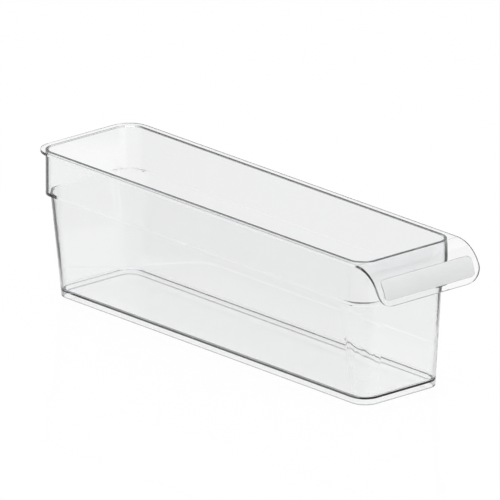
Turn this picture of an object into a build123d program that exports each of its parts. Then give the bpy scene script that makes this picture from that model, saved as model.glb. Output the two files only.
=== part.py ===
"""Clear pull-out bin: one open moulding with a curved pull lip, and the frosted strip set into that lip.

Frame: +X across the width, +Y from the pull lip to the back, +Z up, in millimetres.
The origin is on the ground, at the middle of the overall length and width.
"""
from build123d import *

import os
from math import acos, cos, degrees, sin

os.makedirs("parts", exist_ok=True)

# Overall size
overall_length = 389.2
overall_width = 100.0
overall_height = 114.0

# Moulded sheet: walls, and the rim that carries on into the pull lip
wall = 2.0
rim_thickness = 2.2
rim_overhang = 3.8
rim_corner_radius = 17.8
rim_edge_radius = 0.3
mouth_edge_radius = 0.5

# Upright band under the rim, which ends in a stacking ledge at each corner
band_depth = 35.0
ledge_corner_radius = 23.0

# Lower body, which tapers down to the low ring that it stands on
side_taper = 7.2
back_taper = 10.0
front_taper = 5.0
foot_corner_radius = 13.0
foot_edge_radius = 0.4
foot_depth = 4.2
foot_width = 2.0
floor_thickness = 1.3
floor_fillet = 2.0

# Pull lip: a short flat past the front wall, then a turn forwards and down
lip_reach = 26.8
lip_flat = 0.8
lip_drop = 28.2
lip_corner_radius = 13.0

# Frosted strip, set flush into the lip's outer face
panel_top_drop = 8.5
panel_bottom_drop = 22.9
panel_margin = 5.8
panel_thickness = 0.8
panel_corner_radius = 3.6
panel_clearance = 0.15

# Places that follow from the sizes above
half_width = overall_width / 2
back_y = overall_length / 2
inner_front_y = -back_y + lip_reach
band_half = half_width - rim_overhang
band_back_y = back_y - rim_overhang
band_front_y = inner_front_y - wall
band_corner_radius = rim_corner_radius - rim_overhang
ledge_z = overall_height - band_depth
floor_z = foot_depth + floor_thickness
rim_z = overall_height - rim_thickness
lip_start_y = inner_front_y - lip_flat
lip_radius = lip_reach - lip_flat
lip_axis_z = overall_height - lip_radius
panel_half = half_width - panel_margin
seat_half = panel_half + panel_clearance


def band_outline(inset):
    """Draws the upright band's outline, moved inwards by inset."""
    with Locations((0, (band_front_y + band_back_y) / 2)):
        RectangleRounded(
            2 * (band_half - inset), band_back_y - band_front_y - 2 * inset, band_corner_radius - inset)


def body_outline(height, inset):
    """Draws the tapered body's outline at a height, moved inwards by inset."""
    down = 1 - height / ledge_z
    front = band_front_y + front_taper * down + inset
    back = band_back_y - back_taper * down - inset
    radius = ledge_corner_radius + (foot_corner_radius - ledge_corner_radius) * down - inset
    with Locations((0, (front + back) / 2)):
        RectangleRounded(2 * (band_half - side_taper * down - inset), back - front, radius)


def lip_turn(top_drop, bottom_drop, outer_depth, inner_depth):
    """Draws the lip's side profile: a ring sector between two drops under the rim.

    The depths are measured into the sheet from the lip's outer face.
    """
    start, end = (acos(1 - drop / lip_radius) for drop in (top_drop, bottom_drop))
    outer, inner = lip_radius - outer_depth, lip_radius - inner_depth

    def on_turn(radius, angle):
        return (lip_start_y - radius * sin(angle), lip_axis_z + radius * cos(angle))

    with BuildLine() as profile:
        for radius in (outer, inner):
            CenterArc((lip_start_y, lip_axis_z), radius, 90 + degrees(start), degrees(end - start))
        for angle in (start, end):
            Line(on_turn(inner, angle), on_turn(outer, angle))
    make_face(profile.edges())


with BuildPart() as bin_body:
    # The pull lip comes first: its side profile, cut to its rounded outline as seen from the front
    with BuildSketch(Plane.YZ):
        lip_turn(0, lip_drop + wall, 0, rim_thickness)
    extrude(amount=half_width, both=True)
    with BuildSketch(Plane.XZ):
        with Locations((0, overall_height - lip_drop / 2)):
            Rectangle(overall_width, lip_drop)
        fillet(vertices().group_by(Axis.Y)[0], radius=lip_corner_radius)
    extrude(amount=overall_length, both=True, mode=Mode.INTERSECT)

    # Flat rim all round, square at the front where the lip carries it on
    with BuildSketch(Plane.XY.offset(rim_z)):
        with Locations((0, (lip_start_y + back_y) / 2)):
            Rectangle(overall_width, back_y - lip_start_y)
        fillet(vertices().group_by(Axis.Y)[-1], radius=rim_corner_radius)
    extrude(amount=rim_thickness)

    # Rim and lip are rounded along their free edge, above and below
    seams = edges().filter_by_position(Axis.Y, lip_start_y - wall / 2, lip_start_y + wall / 2)
    free_edges = edges().filter_by(lambda edge: edge.length > 2 * rim_thickness) - seams
    fillet(free_edges, radius=rim_edge_radius)

    # Upright band, then the tapered body under it with rounder corners
    with BuildSketch(Plane.XY.offset(ledge_z)):
        band_outline(0)
    extrude(amount=band_depth - rim_thickness / 2)
    with BuildSketch(Plane.XY):
        body_outline(0, 0)
    with BuildSketch(Plane.XY.offset(ledge_z)):
        body_outline(ledge_z, 0)
    loft(ruled=True)

    # The inside follows the outside at one wall thickness
    with BuildSketch(Plane.XY.offset(ledge_z + wall)):
        band_outline(wall)
    extrude(amount=band_depth, mode=Mode.SUBTRACT)
    with BuildSketch(Plane.XY.offset(floor_z)):
        body_outline(floor_z, wall)
    with BuildSketch(Plane.XY.offset(ledge_z + wall)):
        body_outline(ledge_z, wall)
    loft(ruled=True, mode=Mode.SUBTRACT)
    floor = faces().filter_by(Plane.XY).sort_by(lambda face: abs(face.center().Z - floor_z))[0]
    fillet(floor.edges(), radius=floor_fillet)

    # Hollow under the floor, which leaves the ring that the bin stands on
    with BuildSketch(Plane.XY):
        body_outline(0, foot_width)
    extrude(amount=foot_depth, mode=Mode.SUBTRACT)
    fillet(faces().sort_by(Axis.Z)[0].outer_wire().edges(), radius=foot_edge_radius)

    # The mouth's edge, inside the rim
    fillet(faces().sort_by(Axis.Z)[-1].inner_wires()[0].edges(), radius=mouth_edge_radius)

    # Shallow seat for the frosted strip, open to the lip's outer face
    with BuildSketch(Plane.YZ):
        lip_turn(panel_top_drop - panel_clearance, panel_bottom_drop + panel_clearance, -wall, panel_thickness)
    extrude(amount=seat_half, both=True, mode=Mode.SUBTRACT)
    seat_edges = edges().filter_by(lambda edge: edge.length < 2 * panel_thickness)
    fillet(seat_edges.filter_by(lambda edge: abs(abs(edge.center().X) - seat_half) < panel_clearance),
           radius=panel_corner_radius + panel_clearance)
bin_body.part.label = "bin_body"
export_step(bin_body.part, "parts/bin_body.step")

with BuildPart() as label_panel:
    with BuildSketch(Plane.YZ):
        lip_turn(panel_top_drop, panel_bottom_drop, 0, panel_thickness)
    extrude(amount=panel_half, both=True)
    fillet(edges().filter_by(lambda edge: edge.length < 2 * panel_thickness), radius=panel_corner_radius)
label_panel.part.label = "label_panel"
export_step(label_panel.part, "parts/label_panel.step")
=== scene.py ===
import math

import bpy
from mathutils import Matrix, Vector

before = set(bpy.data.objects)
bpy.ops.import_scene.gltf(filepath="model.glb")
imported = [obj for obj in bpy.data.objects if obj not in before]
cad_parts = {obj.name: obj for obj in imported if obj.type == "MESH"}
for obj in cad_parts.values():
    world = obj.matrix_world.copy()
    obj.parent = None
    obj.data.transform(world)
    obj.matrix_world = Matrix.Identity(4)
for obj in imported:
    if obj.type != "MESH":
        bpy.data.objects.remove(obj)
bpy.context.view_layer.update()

# Bin body. One clear moulding of hard, glass-like plastic: open top, outward rim, upright band with a
# stacking ledge at each corner, tapered walls, floor on a low ring, and the pull lip rolled over in front.
# It is injection moulded in one shot, so it has no seams, only faint flow lines and the scuffs of use.


def new_material(name):
    """An empty node material, with its tree and its output node."""
    material = bpy.data.materials.new(name)
    material.use_nodes = True
    tree = material.node_tree
    tree.nodes.clear()
    return material, tree, tree.nodes.new("ShaderNodeOutputMaterial")


def add_node(tree, kind, settings=None, **sockets):
    """A node with its settings and sockets. A socket is given by its name, with _ for a space, or by its
    number after a _, and takes a plain value or another node's output.
    """
    node = tree.nodes.new(kind)
    for key, value in (settings or {}).items():
        setattr(node, key, value)
    for key, value in sockets.items():
        found = [s for s in node.inputs if s.name.replace(" ", "_") == key and s.enabled]
        socket = found[0] if found else node.inputs[int(key[1:])]
        if isinstance(value, bpy.types.NodeSocket):
            tree.links.new(value, socket)
        else:
            socket.default_value = value
    return node


def maths(tree, operation, *values, clamp=False):
    """The result of a Math node."""
    sockets = {f"_{number}": value for number, value in enumerate(values)}
    settings = {"operation": operation, "use_clamp": clamp}
    return add_node(tree, "ShaderNodeMath", settings, **sockets).outputs[0]


def ramp(tree, value, start, end, low=0.0, high=1.0, shape="LINEAR"):
    """The result of a Map Range node: from start to end, value becomes low to high."""
    return add_node(tree, "ShaderNodeMapRange", {"interpolation_type": shape}, Value=value,
                    From_Min=start, From_Max=end, To_Min=low, To_Max=high).outputs[0]


def mixed(tree, factor, first, second):
    """The colour between two colours."""
    return add_node(tree, "ShaderNodeMix", {"data_type": "RGBA"},
                    Factor=factor, A=first, B=second).outputs["Result"]


def blend(tree, factor, first, second):
    """The shader between two shader nodes."""
    return add_node(tree, "ShaderNodeMixShader", _0=factor, _1=first.outputs[0], _2=second.outputs[0])


def new_group(name, **inputs):
    """An empty node group that gives a Mask, with its input and output nodes."""
    group = bpy.data.node_groups.new(name, "ShaderNodeTree")
    for key, kind in inputs.items():
        group.interface.new_socket(key, in_out="INPUT", socket_type=kind)
    group.interface.new_socket("Mask", in_out="OUTPUT", socket_type="NodeSocketFloat")
    return group, group.nodes.new("NodeGroupInput"), group.nodes.new("NodeGroupOutput")


def cloud_group():
    """Slow moulding clouds: noise that is stretched by the Stretch vector, spread about 0.5 by Contrast."""
    group, source, sink = new_group("moulding_clouds", Stretch="NodeSocketVector", Contrast="NodeSocketFloat")
    middle = 0.5
    place = add_node(group, "ShaderNodeTexCoord").outputs["Object"]
    spread = add_node(group, "ShaderNodeVectorMath", {"operation": "MULTIPLY"},
                      _0=place, _1=source.outputs["Stretch"])
    noise = add_node(group, "ShaderNodeTexNoise", Vector=spread.outputs[0],
                     Scale=1.0, Detail=4.0, Roughness=0.55)
    centred = maths(group, "SUBTRACT", noise.outputs["Fac"], middle)
    mask = maths(group, "MULTIPLY_ADD", centred, source.outputs["Contrast"], middle, clamp=True)
    group.links.new(mask, sink.inputs["Mask"])
    return group


clouds = cloud_group()


def cloud_mask(tree, stretch, contrast):
    """The moulding clouds, in a material."""
    return add_node(tree, "ShaderNodeGroup", {"node_tree": clouds},
                    Stretch=stretch, Contrast=contrast).outputs["Mask"]


def painted_edge_shade_mask(tree, place):
    """Painted shade: dark lines painted on the mouth's edges along both long sides and on the foot's bottom
    edge, where light turns inside the plastic.
    """
    edge_middle, edge_half, edge_low = 0.0447, 0.0009, 0.1134
    straight_middle, straight_half, straight_fade = 0.0105, 0.1663, 0.006
    foot_top, foot_bottom, foot_share = 0.0008, 0.0002, 0.6
    beside = maths(tree, "COMPARE", maths(tree, "ABSOLUTE", place.outputs["X"]), edge_middle, edge_half)
    along = maths(tree, "ABSOLUTE", maths(tree, "SUBTRACT", place.outputs["Y"], straight_middle))
    straight = ramp(tree, along, straight_half + straight_fade, straight_half)
    high = maths(tree, "GREATER_THAN", place.outputs["Z"], edge_low)
    mouth = maths(tree, "MULTIPLY", maths(tree, "MULTIPLY", beside, straight), high)
    # painted shade along the foot's bottom edge, darker towards the very bottom
    foot = ramp(tree, place.outputs["Z"], foot_top, foot_bottom, 0.0, foot_share)
    return maths(tree, "MAXIMUM", mouth, foot)


def clear_plastic():
    """Clear plastic: refracts, with a very thin haze and waviness, more haze where the foot scuffs, and
    painted shade as dark lines on the mouth's long edges and the foot's bottom edge.
    """
    material, tree, output = new_material("clear_plastic")
    haze_stretch, haze_contrast, haze_rough = (30.0, 9.0, 22.0), 1.6, 0.02
    wave_stretch, wave_contrast = (45.0, 16.0, 30.0), 1.0
    scuff_height, scuff_rough = 0.0012, 0.2
    hazy_tint, clean_tint = (0.988, 0.990, 0.992, 1), (0.996, 0.997, 0.998, 1)
    painted_edge_shade_tint, shadow_tint = (0.12, 0.12, 0.126, 1), (0.93, 0.93, 0.935, 1)
    deep_tint, deep_density = (0.855, 0.863, 0.875, 1), 50.0

    place = add_node(tree, "ShaderNodeSeparateXYZ", _0=add_node(tree, "ShaderNodeTexCoord").outputs["Object"])
    haze = cloud_mask(tree, haze_stretch, haze_contrast)
    scuff = ramp(tree, place.outputs["Z"], scuff_height, 0.0, 0.0, scuff_rough)
    rough = maths(tree, "ADD", ramp(tree, haze, 0.0, 1.0, 0.0, haze_rough), scuff, clamp=True)
    # painted shade: the dark edge lines are mixed into the plastic's tint
    tint = mixed(tree, painted_edge_shade_mask(tree, place), mixed(tree, haze, hazy_tint, clean_tint), painted_edge_shade_tint)
    waves = cloud_mask(tree, wave_stretch, wave_contrast)
    bump = add_node(tree, "ShaderNodeBump", Strength=0.01, Distance=0.001, Height=waves)
    plastic = add_node(tree, "ShaderNodeBsdfPrincipled", Base_Color=tint, Roughness=rough, IOR=1.5,
                       Transmission_Weight=1.0, Normal=bump.outputs[0])
    # lamps shine through the clear walls
    path = add_node(tree, "ShaderNodeLightPath")
    through = add_node(tree, "ShaderNodeBsdfTransparent", Color=shadow_tint)
    lit = blend(tree, path.outputs["Is Shadow Ray"], plastic, through)
    tree.links.new(lit.outputs[0], output.inputs["Surface"])
    # a long way inside the plastic, as along the rim and the floor's edge, turns dark and a little blue
    depth = add_node(tree, "ShaderNodeVolumeAbsorption", Color=deep_tint, Density=deep_density)
    tree.links.new(depth.outputs[0], output.inputs["Volume"])
    return material


def dress(piece, material):
    """Gives a CAD piece its one material."""
    piece.data.materials.clear()
    piece.data.materials.append(material)


dress(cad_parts["bin_body"], clear_plastic())

# Frosted strip. A thin white plastic strip, frosted on its face, that lies flush in a shallow seat of the
# pull lip and gives a place to write on. It is die cut with rounded corners and held by its adhesive back.


def frosted_white():
    """Frosted white: pale plastic that lets some light in, with a fine grain and a dull sheen."""
    material, tree, output = new_material("frosted_white")
    mottle_stretch, mottle_contrast = (60.0, 60.0, 60.0), 1.2
    dull_tint, pale_tint = (0.700, 0.704, 0.708, 1), (0.738, 0.742, 0.746, 1)
    least_rough, most_rough = 0.55, 0.68

    mottle = cloud_mask(tree, mottle_stretch, mottle_contrast)
    place = add_node(tree, "ShaderNodeTexCoord").outputs["Object"]
    grain = add_node(tree, "ShaderNodeTexNoise", Vector=place, Scale=2600.0, Detail=2.0)
    bump = add_node(tree, "ShaderNodeBump", Strength=0.25, Distance=0.0002, Height=grain.outputs["Fac"])
    frost = add_node(tree, "ShaderNodeBsdfPrincipled", Base_Color=mixed(tree, mottle, dull_tint, pale_tint),
                     Roughness=ramp(tree, mottle, 0.0, 1.0, least_rough, most_rough), IOR=1.46,
                     Normal=bump.outputs[0], Subsurface_Weight=0.7, Subsurface_Radius=(1.0, 1.0, 1.0),
                     Subsurface_Scale=0.002)
    tree.links.new(frost.outputs[0], output.inputs["Surface"])
    return material


dress(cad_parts["label_panel"], frosted_white())

# Floor. A wide, pale, slightly glossy table top, so that the bin stands on a faint reflection of itself.
# Clear plastic draws dark lines where it turns light inside itself, so the table has darker parts that
# only turned rays meet. It stays bright to all that go straight through the plastic.


def side_group():
    """Dark sides round the bin: 1 on the near side, the left, and the right at the back."""
    group, source, sink = new_group("dark_sides", Place="NodeSocketVector")
    to_far, to_left, to_back = (1.0, 0.0, 0.0), (-0.748, 0.664, 0.0), (0.664, 0.748, 0.0)

    def beyond(way, start, end):
        reach = add_node(group, "ShaderNodeVectorMath", {"operation": "DOT_PRODUCT"},
                         _0=source.outputs["Place"], _1=way)
        return ramp(group, reach.outputs["Value"], start, end, shape="SMOOTHSTEP")

    near, left = beyond(to_far, -0.06, -0.14), beyond(to_left, 0.25, 0.40)
    right, back = beyond(to_left, -0.34, -0.46), beyond(to_back, -0.05, 0.05)
    right_back = maths(group, "MULTIPLY", right, back)
    mask = maths(group, "MAXIMUM", maths(group, "MAXIMUM", near, left), right_back)
    group.links.new(mask, sink.inputs["Mask"])
    return group


dark_sides = side_group()


def turned_shade(tree, path, place, outside):
    """Shade for rays that the plastic turned: once, the dark sides; twice or more, all that is outside."""
    side = add_node(tree, "ShaderNodeGroup", {"node_tree": dark_sides}, Place=place).outputs["Mask"]
    turns = maths(tree, "MINIMUM", path.outputs["Glossy Depth"], path.outputs["Transmission Depth"])
    once = maths(tree, "MULTIPLY", side, maths(tree, "GREATER_THAN", turns, 0.5))
    often = maths(tree, "MULTIPLY", ramp(tree, turns, 1.0, 2.0), outside)
    return maths(tree, "MAXIMUM", once, often)


def pale_table():
    """Pale table: a white lift for the camera over a diffuse, softly glossy surface that keeps the shadow."""
    material, tree, output = new_material("pale_table")
    white, bright_level, dark_level = (1.0, 1.0, 1.0, 1), 0.98, 0.04
    mottle_stretch, mottle_contrast = (3.0, 3.0, 3.0), 0.6
    dull_tint, pale_tint = (0.875, 0.878, 0.880, 1), (0.885, 0.887, 0.890, 1)
    near_start, near_end, far_start, far_end, outside_share = -0.030, -0.036, 0.042, 0.048, 0.9
    side_scale, through_share, camera_share = (2.0, 2.0, 2.0), 0.9, 0.95

    mottle = cloud_mask(tree, mottle_stretch, mottle_contrast)
    surface = add_node(tree, "ShaderNodeBsdfPrincipled", Base_Color=mixed(tree, mottle, dull_tint, pale_tint),
                       Roughness=0.12, IOR=1.4)
    path = add_node(tree, "ShaderNodeLightPath")
    place = add_node(tree, "ShaderNodeTexCoord").outputs["Object"]
    across = add_node(tree, "ShaderNodeSeparateXYZ", _0=place).outputs["X"]
    spread = add_node(tree, "ShaderNodeVectorMath", {"operation": "MULTIPLY"}, _0=place, _1=side_scale)
    near = ramp(tree, across, near_start, near_end, 0.0, outside_share, "SMOOTHSTEP")
    far = ramp(tree, across, far_start, far_end, 0.0, outside_share, "SMOOTHSTEP")
    shade = turned_shade(tree, path, spread.outputs[0], maths(tree, "MAXIMUM", near, far))
    glow = ramp(tree, shade, 0.0, 1.0, bright_level, dark_level)
    bright = add_node(tree, "ShaderNodeEmission", Color=white, Strength=glow)
    clear = maths(tree, "MAXIMUM", path.outputs["Is Transmission Ray"], path.outputs["Is Glossy Ray"])
    inside = blend(tree, maths(tree, "MULTIPLY", clear, through_share), surface, bright)
    gloss = add_node(tree, "ShaderNodeBsdfAnisotropic", Color=white, Roughness=0.03)
    polish = add_node(tree, "ShaderNodeFresnel", IOR=1.45)
    table = blend(tree, polish.outputs[0], inside, gloss)
    lift = add_node(tree, "ShaderNodeEmission", Color=white, Strength=1.0)
    seen = blend(tree, maths(tree, "MULTIPLY", path.outputs["Is Camera Ray"], camera_share), table, lift)
    tree.links.new(seen.outputs[0], output.inputs["Surface"])
    return material


table_half, table_drop = 8.0, 0.0002
corners = [(x * table_half, y * table_half, -table_drop) for x, y in ((-1, -1), (1, -1), (1, 1), (-1, 1))]
table_mesh = bpy.data.meshes.new("table_top")
table_mesh.from_pydata(corners, [], [range(len(corners))])
table_mesh.materials.append(pale_table())
table_top = bpy.data.objects.new("table_top", table_mesh)
bpy.context.scene.collection.objects.link(table_top)

# Light. An even, pale surround at a plain level, white to the camera, with a soft lamp above on the left.
# Like the table, it has darker parts that only rays turned inside the plastic meet.
sky_bright, sky_dark, sky_share = 0.98, 0.05, 0.9
front_right_start, front_right_end = 1.1, 0.6
world = bpy.data.worlds.new("studio")
bpy.context.scene.world = world
world.use_nodes = True
sky = world.node_tree
sky.nodes.clear()
sky_path = add_node(sky, "ShaderNodeLightPath")
facing = add_node(sky, "ShaderNodeTexCoord").outputs["Generated"]
heading = add_node(sky, "ShaderNodeSeparateXYZ", _0=facing)
slant = maths(sky, "SUBTRACT", heading.outputs["X"], heading.outputs["Y"])
around = ramp(sky, slant, front_right_start, front_right_end, 0.0, sky_share, "SMOOTHSTEP")
sky_glow = ramp(sky, turned_shade(sky, sky_path, facing, around), 0.0, 1.0, sky_bright, sky_dark)
level = maths(sky, "MAXIMUM", sky_path.outputs["Is Camera Ray"], sky_glow)
surround = add_node(sky, "ShaderNodeBackground", Color=(1.0, 1.0, 1.0, 1), Strength=level)
sky.links.new(surround.outputs[0], add_node(sky, "ShaderNodeOutputWorld").inputs["Surface"])

lamp_place, lamp_aim, lamp_size, lamp_power = Vector((-0.5, -0.3, 1.5)), Vector((0, 0, 0.05)), 0.9, 6.0
lamp_data = bpy.data.lights.new("lamp_above", "AREA")
lamp_data.shape, lamp_data.size, lamp_data.energy = "SQUARE", lamp_size, lamp_power
lamp = bpy.data.objects.new("lamp_above", lamp_data)
bpy.context.scene.collection.objects.link(lamp)
lamp_turn = (lamp_aim - lamp_place).to_track_quat("-Z", "Y").to_matrix().to_4x4()
lamp.matrix_world = Matrix.Translation(lamp_place) @ lamp_turn

# Camera. It stands far off behind a long lens, at the left front corner and a little above.
camera_turn, camera_rise = math.radians(41.6), math.radians(18.73)
view_middle, view_width = Vector((-0.00177, 0.00297, 0.0714)), 0.3698
lens, sensor, farthest = 1550.0, 36.0, 100.0
ahead = Vector((math.cos(camera_rise) * math.sin(camera_turn),
                math.cos(camera_rise) * math.cos(camera_turn), -math.sin(camera_rise)))
sideways = Vector((math.cos(camera_turn), -math.sin(camera_turn), 0))
upwards = sideways.cross(ahead)
camera_data = bpy.data.cameras.new("camera")
camera_data.lens, camera_data.sensor_width, camera_data.clip_end = lens, sensor, farthest
camera = bpy.data.objects.new("camera", camera_data)
bpy.context.scene.collection.objects.link(camera)
stand = view_middle - ahead * (view_width * lens / sensor)
camera.matrix_world = Matrix.Translation(stand) @ Matrix((sideways, upwards, -ahead)).transposed().to_4x4()
bpy.context.scene.camera = camera
bpy.context.scene.view_settings.view_transform = "Standard"
# light is followed a long way through the plastic
most_bounces = 48
for bounces in ("max_bounces", "transmission_bounces", "glossy_bounces"):
    setattr(bpy.context.scene.cycles, bounces, most_bounces)
